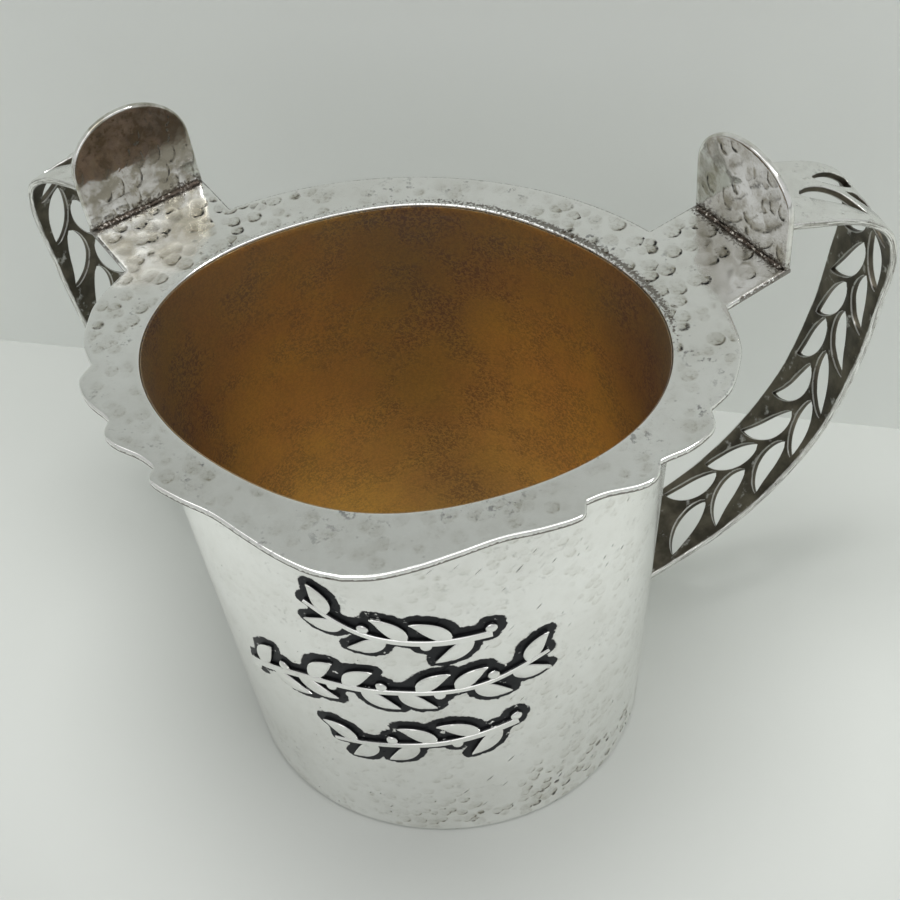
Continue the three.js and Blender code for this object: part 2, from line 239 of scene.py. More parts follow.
def oval_radius(half_sizes, turn, cosine=math.cos):
    """The rule of the oval: a mean radius with a stretch along X and a pull to the diagonals."""
    half_x, half_y, half_diagonal = half_sizes
    mean = (half_x + half_y + half_diagonal * 2.0) / 4.0
    stretch = (half_x - half_y) / 2.0 * cosine(turn * 2.0)
    return mean + stretch + (half_x + half_y - half_diagonal * 2.0) / 4.0 * cosine(turn * 4.0)


def cosine_of(turn):
    return turn.reckon("COSINE")


oval, entry = new_tree("oval_radius", {"Turn": 0.0, "Half sizes": foot_half}, {"Radius": "Float"})
finish_tree(oval, Radius=oval_radius(split(entry["Half sizes"]), entry["Turn"], cosine_of))


def oval_at(turn, half_sizes):
    return put(turn.tree, "Group", node_tree=oval, named={"Turn": turn, "Half sizes": half_sizes})


# The rule of the vessel: a profile is carried round between two ovals. Each of its points gives an
# inset from the oval, a share of the way in to the middle, and a height.
vessel, entry = new_tree(
    "vessel_wall",
    {
        "Profile": "Geometry", "Around": wall_around, "Foot half sizes": foot_half,
        "Mouth half sizes": mouth_half, "Height": wall_height, "Material": "Material",
    },
)
rows = put(vessel, "AttributeDomainSize", entry["Profile"])
spot = put(vessel, "InputPosition")
grid = put(vessel, "MeshGrid", 1.0, 1.0, entry["Around"] + 1.0, rows)
around, up, _ = split(spot)
turn = (around + 0.5) * (2.0 * math.pi)
row = ((up + 0.5) * (rows - 1.0)).reckon("ROUND")


def profile_at(kind, value):
    return put(vessel, "SampleIndex", entry["Profile"], value, row, data_type=kind)


inset, inward_share, height = split(profile_at("FLOAT_VECTOR", spot))
low = oval_at(turn, entry["Foot half sizes"])
high = oval_at(turn, entry["Mouth half sizes"])
radius = (low + (high - low) * (height / entry["Height"]) - inset) * (1.0 - inward_share)
shell = remember(grid, "hammered", profile_at("FLOAT", carried_by(vessel, "hammered")))
shell = moved(shell, place_at(radius * turn.reckon("COSINE"), radius * turn.reckon("SINE"), height))
finish_shape(merged(shell), entry["Material"])


# The hammer: round shallow marks of even size that overlap in ridges. A piece keeps the place of
# each point among the marks, so that its finish can follow them too.
def hammer_bowl(tree, spot, cover):
    """How deep a place is struck, its mark's shape, 0 outside and 1 in the middle, and how far it lies
    towards the side of its mark that gets painted shade.
    """
    cell = put(tree, "TexVoronoi", named={"Vector": spot, "Scale": 1.0, "Randomness": 0.85})
    area = put(tree, "TexNoise", named={"Vector": spot, "Scale": 0.21, "Detail": 1.0})
    area = area.ramp(0.7 - cover * 0.5, 0.82 - cover * 0.5)
    share = cell / 0.64
    dish = (1.0 - share * share).clamped()
    struck = area * (0.45 + split(cell.part("Color"))[0] * 0.55)
    away = joined(spot, cell.part("Position"), "SUBTRACT")
    shaded = joined(away, (0.9, -0.7, -0.9), "DOT_PRODUCT").part("Value")
    return dish * struck, dish, shaded


hammer, entry = new_tree(
    "hammer_marks",
    {
        "Geometry": "Geometry", "Mark size": 0.004, "Mark depth": 0.0001, "Cover": 0.6,
        "Stretch": (1.0, 1.0, 1.0), "Place": (0.0, 0.0, 0.0), "Material": "Material",
    },
)
spot = joined(put(hammer, "InputPosition"), entry["Stretch"], "MULTIPLY")
spot = joined(scaled(spot, 1.0 / entry["Mark size"]), entry["Place"])
shell = remember(entry["Geometry"], "mark_spot", spot, "FLOAT_VECTOR")
bowl = hammer_bowl(hammer, carried_by(hammer, "mark_spot", "FLOAT_VECTOR"), entry["Cover"])[0]
push = bowl * carried_by(hammer, "hammered") * entry["Mark depth"] * -1.0
shell = moved(shell, push=scaled(put(hammer, "InputNormal"), push))
finish_shape(shell, entry["Material"])

# Silver that has been hammered and polished: soft clouds of tarnish, greyer hollows, dark flecks
# and short slanted nicks that hold oxide, and a fine grain. Painted shade darkens each hollow in a
# crescent on one fixed side, and a piece's soot mark can also carry painted shade. Where a piece
# gives its distance from applied ornament, the ground close to it is black with a ragged edge.
silver_look, entry = new_tree(
    "worn_silver",
    {
        "Flecks": 0.5, "Nicks": 0.5, "Tarnish": 0.3, "Polish": 0.16, "Mark spot": "Vector",
        "Hammered": 0.0, "Hollows": 0.5, "Cover": 0.6, "Mark depth": 0.00001, "Distance": 1.0,
        "Ground": 0.0021, "Fold": 0.0,
    },
    surface,
)
spot = put(silver_look, "TexCoord").part("Object")


def noise(spot, scale, detail=3.0, rough=0.6):
    named = {"Vector": spot, "Scale": scale, "Detail": detail, "Roughness": rough}
    return put(spot.tree, "TexNoise", named=named)


cloud = noise(spot, 45.0, 4.0)
mottle = noise(spot, 230.0, 4.0)
grain = noise(spot, 1300.0, 4.0)
patch = noise(spot, 95.0, 2.0, 0.5)
fleck = noise(spot, 620.0, 4.0, 0.62).ramp(0.56, 0.66) * patch.ramp(0.52, 0.66)
fleck = (fleck * entry["Flecks"]).clamped()
slant = {"Vector": spot, "Rotation": (0.0, 0.75, 0.3), "Scale": (1.0, 1.0, 6.0)}
slant = put(silver_look, "Mapping", vector_type="TEXTURE", named=slant)
nick = put(silver_look, "TexVoronoi", named={"Vector": slant, "Scale": 780.0, "Randomness": 1.0})
lucky, width, _ = split(nick.part("Color"))
nick = (1.0 - nick / (0.14 + width * 0.14)).ramp(0.0, 0.7) * lucky.ramp(0.35, 0.95) * patch.ramp(0.36, 0.52)
nick = (nick * entry["Nicks"]).clamped()
near = entry["Distance"] + (noise(spot, 420.0) - 0.5) * 0.0016
near = near + (cloud - 0.5) * 0.0015 + (grain - 0.5) * 0.0008
black = near.ramp(entry["Ground"] - 0.00012, entry["Ground"] + 0.00012, 1.0, 0.0)
glint = noise(spot, 330.0).ramp(0.64, 0.7) * near.ramp(0.0003, 0.0007)
black = black * (1.0 - glint)
# The soot mark: oxide by a soldered joint, and painted shade where a piece marks shade in it.
soot_and_shade_mask = (noise(spot, 1500.0, 3.0, 0.65) + entry["Fold"] * 0.26).ramp(0.6, 0.72)
soot_and_shade_mask = soot_and_shade_mask * entry["Fold"].ramp(0.0, 0.4)
speck = noise(spot, 1000.0, 4.0, 0.65)
bowl, dish, shaded = hammer_bowl(silver_look, entry["Mark spot"], entry["Cover"])
bowl = bowl * entry["Hammered"]
struck = bowl.ramp(0.0, 0.25) * entry["Hollows"]
# A hollow is dark with painted shade in a crescent on its shaded side, the same side for every mark, and
# greyer over its inside, with more painted shade towards that side.
shade_crescent = dish.ramp(0.12, 0.3) * (1.0 - dish.ramp(0.4, 0.75)) * shaded.ramp(0.12, 0.5) * struck
inner = dish.ramp(0.25, 0.5) * (0.45 + shaded * 0.5).clamped() * struck
hollow_oxide_and_shade = (shade_crescent * 0.8 + inner * 0.7) * (0.3 + mottle.ramp(0.35, 0.6) * 0.35 + speck.ramp(0.48, 0.62) * 0.7)
shade_pit = (shade_crescent * (0.8 + speck.ramp(0.45, 0.6) * 0.6) - 0.45).clamped()
tarnish_and_shade = cloud.ramp(0.35, 0.7) * 0.5 + mottle.ramp(0.45, 0.7) * 0.3 + speck.ramp(0.55, 0.7) * 0.2
tarnish_and_shade = (tarnish_and_shade * entry["Tarnish"] + hollow_oxide_and_shade).clamped()
dirt_and_shade = (black * 0.98 + fleck * 0.6 + nick * 0.8 + soot_and_shade_mask * 0.8 + shade_pit).clamped()


def mixed(share, first, second):
    """A mix of two colours, each a wire or three numbers."""
    pair = [colour if isinstance(colour, Wire) else (*colour, 1.0) for colour in (first, second)]
    return put(share.tree, "Mix", data_type="RGBA", named={"Factor": share, "A": pair[0], "B": pair[1]})


bare = mixed(tarnish_and_shade, (0.95, 0.953, 0.935), (0.41, 0.385, 0.315))
oxide_and_shade = mixed(soot_and_shade_mask, (0.022, 0.023, 0.027), (0.1, 0.08, 0.06))
colour = mixed(dirt_and_shade, bare, oxide_and_shade)
rough = entry["Polish"] + grain * 0.06 + tarnish_and_shade * 0.1 + dirt_and_shade * 0.35
relief = grain * 4e-6 + mottle * 2.5e-5 - nick * 3e-5 - fleck * 0.8e-5 - black * 1.2e-4
relief = relief - bowl * entry["Mark depth"]
finish_tree(silver_look, Colour=colour, Roughness=rough, Height=relief)


def metal(name, look, **inputs):
    """A metal finish. Each input of the look is a number, or names the piece's own attribute that
    feeds it and says whether that is read as a number or a vector."""
    material = bpy.data.materials.new(name)
    material.use_nodes = True
    tree = material.node_tree
    shader = tree.nodes["Principled BSDF"]
    shader.inputs["Metallic"].default_value = 1.0
    for label, value in inputs.items():
        if isinstance(value, tuple):
            inputs[label] = put(tree, "Attribute", attribute_name=value[0]).part(value[1])
    pattern = put(tree, "Group", node_tree=look, named=inputs)
    feed(shader.inputs["Base Color"], pattern.part("Colour"))
    feed(shader.inputs["Roughness"], pattern.part("Roughness"))
    bump = put(tree, "Bump", named={"Strength": 1.0, "Distance": 1.0, "Height": pattern.part("Height")})
    feed(shader.inputs["Normal"], bump)
    return material


hammered_by = {"Mark spot": ("mark_spot", "Vector"), "Hammered": ("hammered", "Fac")}
by_ornament = {"Distance": ("from_ornament", "Fac")}
worn_by = {"Nicks": ("wear", "Fac"), "Hollows": ("pocked", "Fac"), **by_ornament}
wall_silver = metal("wall_silver", silver_look, Flecks=0.3, Tarnish=0.24, **hammered_by, **worn_by)
# Its profile: up the outside from a rounded foot, over the top and down the inside.
foot_edge = [(0.0006, 0.0, 0.0), (0.00035, 0.0, 0.00008), (0.00013, 0.0, 0.00028), (0.00003, 0.0, 0.00055)]
profile = foot_edge + [(0.0, 0.0, wall_top * row / wall_rows) for row in range(1, wall_rows + 1)]
outer_count = len(profile)
profile += [(0.0005, 0.0, wall_top), (wall_thickness, 0.0, wall_top)]
profile += [(wall_thickness, 0.0, wall_top * (1 - step / 12)) for step in range(1, 13)] + foot_edge[:1]
wall = new_piece("body_wall_sheet", profile)
mark_points(wall, "hammered", [1.0 if 4 < i < outer_count - 1 else 0.0 for i in range(len(profile))])
# The wall's outer line runs to the mouth's inner size plus the sheet's thickness.
outer_mouth = tuple(half + wall_thickness for half in mouth_half)
wall_sizes = {"Foot half sizes": foot_half, "Mouth half sizes": outer_mouth, "Height": wall_height}
settle(wall, vessel, {**wall_sizes, "Around": wall_around, "Material": wall_silver})
point_outwards(wall)
settle(wall, hammer, {"Mark size": 0.003, "Mark depth": 0.00002, "Cover": 0.6, "Material": wall_silver})
fit_to_frame(wall, "hammered_silver", "body_wall")

# Base: a flat silver disc let into the foot of the wall and soldered. Its underside carries the
# cup and is scuffed by use.
base_thickness = 0.0016
base_inset = wall_thickness + 0.00002
base_rings = 44
base_look = {"Flecks": 0.4, "Nicks": 0.6, "Tarnish": 0.35, "Polish": 0.26}
base_silver = metal("base_silver", silver_look, **base_look, **hammered_by)
base_profile = [(base_inset, 1 - ring / base_rings, 0.0) for ring in range(base_rings)]
for share, rise in ((0.0, 0.0001), (0.0, base_thickness), (1.0, base_thickness)):
    base_profile.append((base_inset, share, rise))
base = new_piece("base_plate", base_profile)
mark_points(base, "hammered", [0.0 if point[1] < 0.03 else 1.0 for point in base_profile])
settle(base, vessel, {**wall_sizes, "Around": 240, "Material": base_silver})
point_outwards(base)
settle(base, hammer, {"Mark size": 0.005, "Mark depth": 0.00008, "Cover": 0.5, "Material": base_silver})
fit_to_frame(base, "hammered_silver", "base_disc")

# Gilding: a thin worn layer of gold over the floor and the inside of the wall, run into the
# soldered corner between them. It is matt, and mottled brown where the cup has been used.
gilt_thickness = 0.00012
corner_radius = 0.0018
lining_top = 0.1184
gold_look, entry = new_tree("worn_gilding", {"Wear": 0.5, "Polish": 0.4}, surface)
spot = put(gold_look, "TexCoord").part("Object")
sideways, _, high = split(spot)
cloud = noise(spot, 30.0, 4.0, 0.55)
hue = noise(joined(spot, (3.0, 1.0, 2.0)), 48.0)
patch = noise(spot, 70.0, 4.0, 0.65).ramp(0.42, 0.6)
wrinkle = {"Vector": spot, "Scale": 1500.0, "Detail": 2.0, "Distortion": 0.9}
wrinkle = put(gold_look, "TexNoise", named=wrinkle)
grain = noise(spot, 2200.0)
# Painted shade: it is browner towards the mouth, the middle and the ends, and least at the right of the
# floor.
aside = sideways.reckon("ABSOLUTE")
shade = high.ramp(0.04, 0.11) * 0.3 + aside.ramp(0.0, 0.035, 1.0, 0.0) * 0.48 + aside.ramp(0.034, 0.055) * 0.4
shade = shade + sideways.ramp(0.02, 0.05) * high.ramp(0.04, 0.09) * 0.35
shade = shade - sideways.ramp(0.0, 0.03) * high.ramp(0.03, 0.07, 1.0, 0.0) * 0.1
wear_and_shade = cloud.ramp(0.3, 0.7) * 0.3 + wrinkle.ramp(0.4, 0.6) * (0.22 + patch * 0.46)
wear_and_shade = ((wear_and_shade + grain.ramp(0.4, 0.7) * 0.15 + shade - 0.06) * entry["Wear"]).clamped()
gold = mixed(hue.ramp(0.3, 0.7), (0.91, 0.71, 0.31), (0.87, 0.63, 0.32))
brown = mixed(hue.ramp(0.3, 0.7), (0.31, 0.265, 0.235), (0.31, 0.24, 0.225))
colour = mixed(wear_and_shade, gold, brown)
rough = entry["Polish"] + wear_and_shade * 0.12 + grain * 0.08
relief = wrinkle * (0.35 + patch) * 1e-4 + grain * 2e-5
finish_tree(gold_look, Colour=colour, Roughness=rough, Height=relief)
gilding = metal("worn_gilding", gold_look, Wear=0.62, Polish=0.36)


def lining_line(skin, steps):
    """Profile of one side of the gilding, from the middle of the floor up to the mouth."""
    inset = wall_thickness + skin
    ground = base_thickness + skin
    line = [(inset + corner_radius, 1 - ring / steps, ground) for ring in range(steps)]
    for step in range(9):
        bend = step / 8 * math.pi / 2
        side = corner_radius * (1 - math.sin(bend))
        line.append((inset + side, 0.0, ground + corner_radius * (1 - math.cos(bend))))
    start = ground + corner_radius
    rows = range(1, 2 * steps + 1)
    line += [(inset, 0.0, start + (lining_top - start) * row / (2 * steps)) for row in rows]
    # At the top it turns upright and runs a little way up the edge of the collar's opening.
    return line + [(inset + 0.00012, 0.0, lining_top + 0.0005), (inset + 0.0002, 0.0, lining_top + 0.001)]


lining_face, lining_back = lining_line(gilt_thickness, 42), lining_line(0.00002, 8)
lining = new_piece("gilt_lining", lining_face + lining_back[::-1])
hammered_points = 131
mark_points(lining, "hammered", [float(i < hammered_points) for i in range(len(lining_face + lining_back))])
settle(lining, vessel, {**wall_sizes, "Around": 320, "Material": gilding})
point_outwards(lining)
settle(lining, hammer, {"Mark size": 0.006, "Mark depth": 0.00005, "Cover": 0.7, "Material": gilding})
fit_to_frame(lining, "gilding")

# Rim plate: a flat collar sawn from thick sheet, its edge stepped at the sides and drawn out to a
# broad lip in front, with an ear on each side. It is hammered all over and its edge is polished.
cup_height = 0.120
rim_thickness = 0.0016
rim_half_width = 0.070
rim_rear_reach = 0.055
lip_reach = 0.0615
ear_width = 0.0288
ear_turn = math.radians(46)
seat_reach, seat_turn = 0.078, math.radians(30.5)
ear_seat = Vector((math.cos(seat_turn), math.sin(seat_turn))) * seat_reach
ear_out = Vector((math.cos(ear_turn), math.sin(ear_turn)))
ear_across = Vector((math.sin(ear_turn), -math.cos(ear_turn)))
thumb_thickness = 0.0016
# Each run of the stepped edge ends in a sharp notch: shares of the half width and the lip's reach.
scallop_runs = (
    ((0.994, 0.13), (0.999, 0.04), (0.982, -0.085), (0.929, -0.187)),
    ((0.946, -0.258), (0.923, -0.315), (0.883, -0.368), (0.827, -0.414), (0.807, -0.432)),
    ((0.804, -0.494), (0.763, -0.54), (0.676, -0.58), (0.621, -0.62)),
    ((0.616, -0.682), (0.526, -0.741), (0.411, -0.795),
     (0.303, -0.868), (0.2, -0.934), (0.094, -0.984), (0, -1)),
)


def smooth_line(stops, gap, evening=0.5):
    """Points about a gap apart on a smooth curve through the stops. Evening, from 0 to 0.5, keeps
    the curve from swinging out where its stops are unevenly spaced."""
    ends = [stops[0] * 2 - stops[1], *stops, stops[-1] * 2 - stops[-2]]
    line = [stops[0]]
    for a, b, c, d in zip(ends, ends[1:], ends[2:], ends[3:]):
        first, middle, last = ((q - p).length ** evening for p, q in ((a, b), (b, c), (c, d)))
        run_in = ((b - a) / first - (c - a) / (first + middle) + (c - b) / middle) * middle
        run_out = ((c - b) / middle - (d - b) / (middle + last) + (d - c) / last) * middle
        steps = max(2, round((c - b).length / gap))
        for step in range(1, steps + 1):
            t = step / steps
            bend = (3 * (c - b) - 2 * run_in - run_out) * t * t + (2 * (b - c) + run_in + run_out) * t ** 3
            line.append(b + run_in * t + bend)
    return line


def straight(start, end, gap):
    steps = max(1, round((end - start).length / gap))
    return [start.lerp(end, step / steps) for step in range(1, steps + 1)]


def ear_root(across):
    """Where a side of the ear leaves the oval of the collar."""
    squash = Vector((1 / rim_half_width, 1 / rim_rear_reach))
    start, run = (ear_seat + ear_across * across) * squash, ear_out * squash
    drift = start.dot(run)
    short = run.length_squared * (start.length_squared - 1)
    reach = (-drift + math.sqrt(drift ** 2 - short)) / run.length_squared
    return ear_seat + ear_across * across + ear_out * reach


def rim_edge(gap):
    """The right half of the plate's edge, from the middle of the rear to the tip of the lip."""
    far, near = ear_root(-ear_width / 2), ear_root(ear_width / 2)
    swing = math.atan2(far.y / rim_rear_reach, far.x / rim_half_width)
    steps = round((math.pi / 2 - swing) * rim_half_width / gap)
    line = []
    for step in range(steps + 1):
        turn = math.pi / 2 + (swing - math.pi / 2) * step / steps
        line.append(Vector((rim_half_width * math.cos(turn), rim_rear_reach * math.sin(turn))))
    tip = ear_seat + ear_out * thumb_thickness
    line += straight(far, tip - ear_across * ear_width / 2, gap)
    line += straight(tip - ear_across * ear_width / 2, tip + ear_across * ear_width / 2, gap)
    line += straight(tip + ear_across * ear_width / 2, near, gap)
    start = near
    for run in scallop_runs:
        stops = [Vector((x * rim_half_width, y * lip_reach)) for x, y in run]
        line += smooth_line([start, *stops], gap, 0)[1:]
        start = stops[-1]
    return line


def inward(loop, inset):
    """A loop moved into the sheet by an inset; the sheet lies on the loop's left."""
    ahead = np.roll(loop, -1, axis=0) - loop
    ahead /= np.linalg.norm(ahead, axis=1)[:, None]
    side = np.stack([-ahead[:, 1], ahead[:, 0]], axis=1)
    bisector = side + np.roll(side, 1, axis=0)
    bisector /= np.linalg.norm(bisector, axis=1)[:, None]
    stretch = np.clip(np.einsum("ij,ij->i", bisector, side), 0.5, 1.0)
    return loop + bisector * (inset / stretch)[:, None]


def edge_distance(points, loops):
    """How far each point is from the nearest edge of any loop."""
    nearest = np.full(len(points), 1.0)
    for loop in loops:
        for start, end in zip(loop, np.roll(loop, -1, axis=0)):
            run = end - start
            share = np.clip((points - start) @ run / (run @ run), 0, 1)
            nearest = np.minimum(nearest, np.linalg.norm(points - start - share[:, None] * run, axis=1))
    return nearest


def inside(points, loops):
    """Which points lie in the sheet, inside an odd number of loops."""
    odd = np.zeros(len(points), bool)
    for loop in loops:
        for start, end in zip(loop, np.roll(loop, -1, axis=0)):
            spans = (start[1] > points[:, 1]) != (end[1] > points[:, 1])
            slope = (end[0] - start[0]) / (end[1] - start[1] if end[1] != start[1] else 1.0)
            odd ^= spans & (points[:, 0] < start[0] + (points[:, 1] - start[1]) * slope)
    return odd


def sheet(name, loops, thickness, rounding, gap, polished):
    """A flat piece of sheet with rounded edges, standing on z = 0, its faces filled with fine
    triangles; the first loop is its edge and the others are holes, all with the sheet on their left."""
    loops = [np.array([tuple(point) for point in loop]) for loop in loops]
    bends = [math.radians(turn) for turn in (0, 22, 42, 62, 90)]
    rings = [(rounding * (1 - math.sin(b)), thickness - rounding * (1 - math.cos(b))) for b in bends]
    rings += [(inset, thickness - height) for inset, height in reversed(rings)]
    faces_in = [inward(loop, rounding) for loop in loops]
    low, high = loops[0].min(axis=0), loops[0].max(axis=0)
    across = np.arange(low[0], high[0], gap)
    up = np.arange(low[1], high[1], gap * math.sqrt(0.75))
    fill = np.array([(x + gap / 2 * (i % 2), y) for i, y in enumerate(up) for x in across])
    fill = fill[inside(fill, faces_in)]
    fill = fill[edge_distance(fill, faces_in) > gap * 0.6]
    flat = np.concatenate([*faces_in, fill])
    ties, start = [], 0
    for loop in loops:
        count = len(loop)
        ties += [(start + i, start + (i + 1) % count) for i in range(count)]
        start += count
    made = delaunay_2d_cdt([Vector(point) for point in flat], ties, [], 0, 1e-9)
    triangles = np.array([face for face in made[2]])
    flat = np.array([tuple(point) for point in made[0]])
    first, second, third = (flat[triangles[:, i]] for i in range(3))
    area = np.abs(np.cross(second - first, third - first))
    triangles = triangles[inside((first + second + third) / 3, faces_in) & (area > 1e-9)]
    edge_share = np.clip((edge_distance(flat, loops) - rounding) / polished, 0, 1)
    count = len(flat)
    points = [(x, y, thickness) for x, y in flat] + [(x, y, 0.0) for x, y in flat]
    marks = list(edge_share) * 2
    faces = [tuple(face) for face in triangles] + [tuple(face[::-1] + count) for face in triangles]
    for loop in loops:
        size = len(loop)
        start = len(points)
        for inset, height in rings:
            points += [(x, y, height) for x, y in inward(loop, inset)]
            marks += [0.0] * size
        for ring in range(len(rings) - 1):
            for i in range(size):
                j = (i + 1) % size
                here, below = start + ring * size, start + (ring + 1) * size
                faces.append((here + i, below + i, below + j, here + j))
    piece = new_piece(name, points, faces)
    mark_points(piece, "hammered", marks)
    point_outwards(piece)
    return piece


rim_gap = 0.0006
edge_gap = 0.0009
right_edge = rim_edge(edge_gap)
left_edge = [Vector((-point.x, point.y)) for point in right_edge[-2:0:-1]]
outline = (right_edge + left_edge)[::-1]
mouth_turns = [-2 * math.pi * i / 360 for i in range(360)]
mouth = [Vector((math.cos(turn), math.sin(turn))) * oval_radius(mouth_half, turn) for turn in mouth_turns]
soot_and_shade_by = {**hammered_by, "Fold": ("fold", "Fac")}
rim_look = {"Flecks": 1.1, "Nicks": 0.4, "Tarnish": 0.3, "Polish": 0.1, "Hollows": 1.15, "Cover": 1.0}
rim_silver = metal("rim_silver", silver_look, **rim_look, **soot_and_shade_by)
rim = sheet("rim_collar", [outline, mouth], rim_thickness, 0.0005, rim_gap, 0.0012)
from_seats = [Vector((abs(point.co.x), point.co.y)) - ear_seat for point in rim.data.vertices]
for mark, from_seat in zip(rim.data.attributes["hammered"].data, from_seats):
    mark.value *= min(max(1.25 - from_seat.length / 0.05, 0.25), 1.0)
soot_and_shade_mask = [max(0.0, 1 + from_seat.dot(ear_out) / 0.0035) for from_seat in from_seats]
# The lower half of the edge, under its polished rounding, is made darker. Painted shade darkens a
# band round the back of the mouth and the back edge of the collar.
under = [1.5 if 0 < point.co.z < rim_thickness / 2 else 0.0 for point in rim.data.vertices]
rear_painted_shade = []
for x, y, z in (point.co for point in rim.data.vertices):
    beyond = math.hypot(x, y) - oval_radius(mouth_half, math.atan2(y, x))
    behind = min(max(y / 0.02, 0.0), 1.0) * min(max(0.55 + x / 0.06, 0.3), 1.0)
    rear_edge = 0.85 if beyond > 0.004 and y > 0.02 and z < rim_thickness - 0.00002 else 0.0
    rear_painted_shade.append(max(rear_edge, behind * max(0.0, 1.25 - abs(beyond - 0.0011) / 0.0012)))
mark_points(rim, "fold", [max(trio) for trio in zip(soot_and_shade_mask, under, rear_painted_shade)])
rim.data.transform(Matrix.Translation((0, 0, cup_height - rim_thickness)))
settle(rim, hammer, {"Mark size": 0.0039, "Mark depth": 0.00007, "Cover": 1.0, "Material": rim_silver})
fit_to_frame(rim, "hammered_silver", "rim_plate")

# Thumb plates: upright plates with a round crown, soldered on the ends of the ears and leaning
# out a little. Long hammer marks run up them and their edges are polished bright.
thumb_height = 0.0252
thumb_crown = 0.0122
thumb_lean = {"right": math.radians(1), "left": math.radians(8)}
thumb_gap = 0.0005
shoulder = thumb_height - thumb_crown
half = ear_width / 2
turns = [i / 48 * math.pi for i in range(49)]
crown = [(half * math.cos(turn), shoulder + thumb_crown * math.sin(turn)) for turn in turns]
plate_edge = straight(Vector((-half, 0)), Vector((half, 0)), edge_gap)
plate_edge += straight(Vector((half, 0)), Vector((half, shoulder)), edge_gap)
plate_edge += [Vector(point) for point in crown[1:]]
plate_edge += straight(Vector((-half, shoulder)), Vector((-half, 0)), edge_gap)
upright = Matrix((
    (-math.sin(ear_turn), 0, math.cos(ear_turn), ear_seat.x),
    (math.cos(ear_turn), 0, math.sin(ear_turn), ear_seat.y),
    (0, 1, 0, cup_height + 0.00002),
    (0, 0, 0, 1),
))
for side, flip, tarnish in (("right", 1, 1.4), ("left", -1, 2.6)):
    plate_look = dict(Flecks=0.6, Nicks=0.2, Tarnish=tarnish, Polish=0.01, Hollows=1.0, Cover=1.0)
    plate_silver = metal(f"thumb_plate_{side}_silver", silver_look, **plate_look, **soot_and_shade_by)
    # Fine scratches leave a haze over what they mirror.
    plate_silver.node_tree.nodes["Principled BSDF"].inputs["Metallic"].default_value = 0.93
    plate = sheet(f"thumb_plate_{side}_sheet", [plate_edge], thumb_thickness, 0.0005, thumb_gap, 0.001)
    mark_points(plate, "fold", [max(0.0, 1 - point.co.y / 0.003) for point in plate.data.vertices])
    # The left plate's crown has been rubbed nearly smooth.
    for mark, point in zip(plate.data.attributes["hammered"].data, plate.data.vertices):
        mark.value *= 1 - min(max(point.co.y / thumb_height, 0.0), 1.0) * (0.7 if side == "left" else 0.1)
    marks = {"Mark size": 0.0036, "Mark depth": 0.00006, "Cover": 1.0, "Material": plate_silver}
    settle(plate, hammer, {**marks, "Stretch": (1.0, 0.62, 1.0), "Place": (7.0 * flip, 0.0, 0.0)})
    lean = Matrix.Rotation(thumb_lean[side], 4, "X")
    plate.data.transform(Matrix.Scale(flip, 4, (1, 0, 0)) @ upright @ lean)
    point_outwards(plate)
    fit_to_frame(plate, "hammered_silver", f"thumb_plate_{side}")

# Handle straps: flat silver bands, pierced right through with leaf-shaped openings on both sides of
# a winding stem, bent to shape and soldered to the thumb plates and the wall. The outer face and
# the edges are polished; the inner face and the piercings are left dark.
strap_angle = math.radians(31)
strap_overhang = 0.0334
strap_top = 0.1306
strap_foot = 0.0215
strap_bury = 0.004
strap_thickness = 0.0018
foot_reach = 0.04837
full_reach = seat_reach + strap_overhang
strap_climb = strap_top - strap_foot
strap_stops = [Vector((seat_reach - strap_bury, strap_top))]
for out, rise in ((0.36, 0.966), (0.725, 0.928), (0.934, 0.873), (1, 0.795)):
    strap_stops.append(Vector((seat_reach + out * strap_overhang, strap_foot + rise * strap_climb)))
for out, rise in ((0.968, 0.674), (0.906, 0.512), (0.754, 0.31), (0.447, 0.13)):
    reach = foot_reach + out * (full_reach - foot_reach)
    strap_stops.append(Vector((reach, strap_foot + rise * strap_climb)))
strap_stops.append(Vector((foot_reach - strap_bury, strap_foot)))

# The rule of a leaf: it swells along a bowed middle line from its root to its tip. Along runs from
# 0 to 1 and Aside from -1 to 1; Inset makes the leaf smaller all round.
stops = {"Root": "Vector", "Bow": "Vector", "Tip": "Vector"}
shares = {"Along": 0.0, "Aside": 0.0, "Width": 0.005, "Inset": 0.0}
leaf, entry = new_tree("leaf_form", {**stops, **shares}, {"Place": "Vector"})
start = joined(entry["Bow"], entry["Root"], "SUBTRACT")
finish = joined(entry["Tip"], entry["Bow"], "SUBTRACT")
along = entry["Along"]
run = joined(scaled(start, 1.0 - along), scaled(finish, along))
first_leg = joined(entry["Root"], scaled(start, along))
second_leg = joined(entry["Bow"], scaled(finish, along))
middle = joined(scaled(first_leg, 1.0 - along), scaled(second_leg, along))
swell = (along.reckon("POWER", 0.8) * math.pi).reckon("SINE").clamped().reckon("POWER", 0.8)
half_width = (swell * entry["Width"] / 2.0 - entry["Inset"]).reckon("MAXIMUM", 0.0) * entry["Aside"]
side = put(leaf, "VectorMath", joined((0.0, 0.0, 1.0), run, "CROSS_PRODUCT"), operation="NORMALIZE")
finish_tree(leaf, Place=joined(middle, scaled(side, half_width)))


def leaf_blanks(tree, points, *cuts):
    """A block for each point, cut into a grid, whose own places are kept to make it a leaf."""
    blank = put(tree, "MeshCube", (1.0, 2.0, 2.0), *cuts)
    blank = remember(blank, "leaf_spot", put(tree, "InputPosition"), "FLOAT_VECTOR")
    return whole(put(tree, "InstanceOnPoints", points, None, blank))


def leaf_place(tree, **values):
    named = {label.capitalize(): value for label, value in values.items()}
    return put(tree, "Group", node_tree=leaf, named=named)


